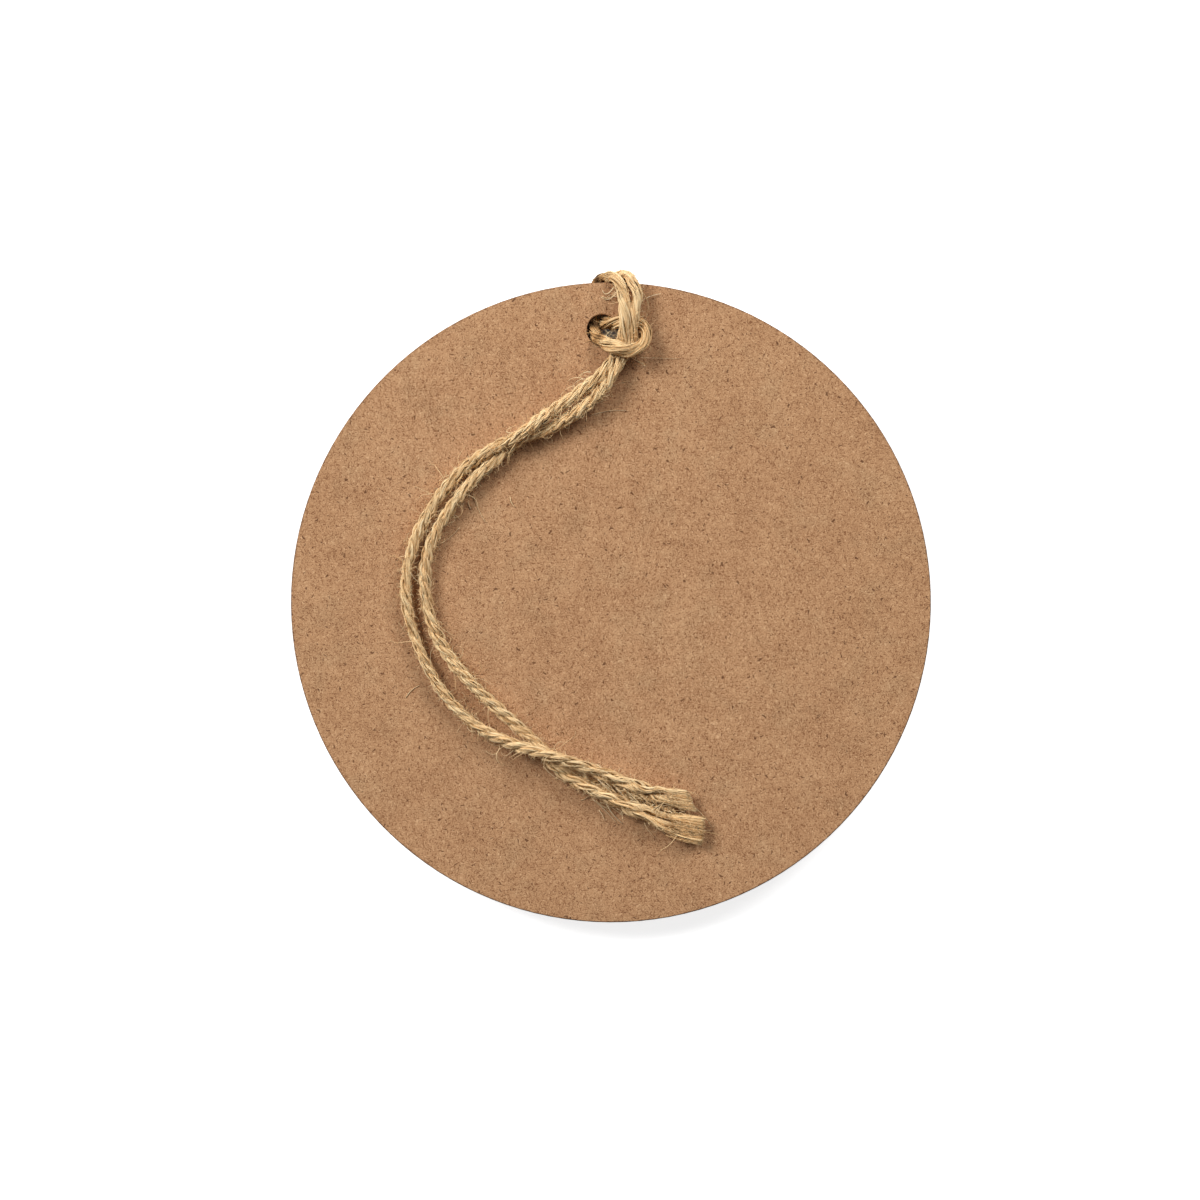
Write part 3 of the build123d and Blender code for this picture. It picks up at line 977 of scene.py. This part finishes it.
jute = juteMaterial()
fibreboard = boardMaterial()
for piece in (outerTail, hitchTwine, innerTail, outerStrays, hitchStrays, innerStrays):
    piece.data.materials.append(jute)
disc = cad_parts["tag_disc"]
disc.data.materials.clear()
disc.data.materials.append(fibreboard)
print("materials made")

# What moves with what
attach(hitchTwine, "tag")
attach(hitchStrays, "tag")
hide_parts("twine_hitch")
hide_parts("tail_outer")
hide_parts("tail_inner")
for piece in (outerTail, outerStrays, innerTail, innerStrays):
    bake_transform(piece)


# Floor and light
studio = {
    "floorSide": 6.0,
    "floorColour": (0.9, 0.9, 0.9, 1),
    "floorRoughness": 0.9,
    "underBoard": 1.5 * mm,     # how far the floor's glow reaches under the rim
    "floorGlow": 0.78,          # seen by the camera only, round the board
    "paintedHoleGlow": 0.03,           # painted light: a faint glow, seen only, on the floor where the hole shows it
    "whiteReach": (0.2, 0.6),   # from the middle, where the floor turns plain white
    "holeSpot": (1.2 * mm, 42.3 * mm),
    "spotReach": (0.6 * mm, 1.8 * mm),
    "ambient": 0.095,
    "distance": 1.0,            # of the two soft boxes, high to the left and right
    "boxes": [
        {"name": "leftBox", "power": 8.8, "size": 0.42, "elevation": 37, "azimuth": 143},
        {"name": "rightBox", "power": 6.3, "size": 0.44, "elevation": 33, "azimuth": 52},
    ],
}


def makeFloor():
    # a white floor whose glow is only seen and lights nothing, and a spot of painted light on it under the
    # hole
    half = studio["floorSide"] / 2
    mesh = bpy.data.meshes.new("floor")
    corners = [(-half, -half), (half, -half), (half, half), (-half, half)]
    mesh.from_pydata([(*corner, lowest) for corner in corners], [], [(0, 1, 2, 3)])
    floor = bpy.data.objects.new("floor", mesh)
    bpy.context.collection.objects.link(floor)
    n = Nodes("floor")
    n.shader.inputs["Base Color"].default_value = studio["floorColour"]
    n.shader.inputs["Roughness"].default_value = studio["floorRoughness"]
    rays = n.add("ShaderNodeLightPath").outputs
    seen = n.math("MAXIMUM", rays["Is Glossy Ray"], rays["Is Transmission Ray"])
    seen = n.math("MAXIMUM", rays["Is Camera Ray"], seen)
    place = n.add("ShaderNodeTexCoord").outputs["Object"]
    fromMiddle = n.vector("DISTANCE", place, (0, 0, lowest))["Value"]
    fromSpot = n.vector("DISTANCE", place, (*studio["holeSpot"], lowest))["Value"]
    roundBoard = n.math("GREATER_THAN", fromMiddle, discRadius - studio["underBoard"])
    farGlow = n.ranged(fromMiddle, *studio["whiteReach"], studio["floorGlow"], 1)
    backdropAndPaintedGlow = n.math("MULTIPLY", roundBoard, farGlow)
    # painted light: a faint glow on the floor under the hole, added to the white backdrop
    backdropAndPaintedGlow = n.math("ADD", backdropAndPaintedGlow, n.ranged(fromSpot, *studio["spotReach"], studio["paintedHoleGlow"], 0))
    n.shader.inputs["Emission Color"].default_value = (1, 1, 1, 1)
    n.put(n.shader.inputs["Emission Strength"], n.math("MULTIPLY", seen, backdropAndPaintedGlow))
    mesh.materials.append(n.material)


def makeSoftBox(box):
    data = bpy.data.lights.new(box["name"], "AREA")
    data.energy = box["power"]
    data.size = box["size"]
    light = bpy.data.objects.new(box["name"], data)
    bpy.context.collection.objects.link(light)
    lift, turn = math.radians(box["elevation"]), math.radians(box["azimuth"])
    way = Vector((math.cos(lift) * math.cos(turn), math.cos(lift) * math.sin(turn), math.sin(lift)))
    light.location = way * studio["distance"]
    light.rotation_euler = way.to_track_quat("Z", "Y").to_euler()


def makeRoom():
    # faint light from all round, plain white where it is seen
    world = bpy.data.worlds.new("room")
    bpy.context.scene.world = world
    world.use_nodes = True
    tree = world.node_tree
    background = tree.nodes["Background"]
    background.inputs["Color"].default_value = (1, 1, 1, 1)
    rays = tree.nodes.new("ShaderNodeLightPath")
    seen = tree.nodes.new("ShaderNodeMath")
    seen.operation = "ADD"
    tree.links.new(rays.outputs["Is Glossy Ray"], seen.inputs[0])
    tree.links.new(rays.outputs["Is Transmission Ray"], seen.inputs[1])
    shown = tree.nodes.new("ShaderNodeMath")
    shown.operation = "ADD"
    tree.links.new(rays.outputs["Is Camera Ray"], shown.inputs[0])
    tree.links.new(seen.outputs[0], shown.inputs[1])
    level = tree.nodes.new("ShaderNodeMapRange")
    tree.links.new(shown.outputs[0], level.inputs["Value"])
    level.inputs["To Min"].default_value = studio["ambient"]
    level.inputs["To Max"].default_value = 1.0
    tree.links.new(level.outputs["Result"], background.inputs["Strength"])


makeFloor()
for box in studio["boxes"]:
    makeSoftBox(box)
makeRoom()
print("floor and light made")
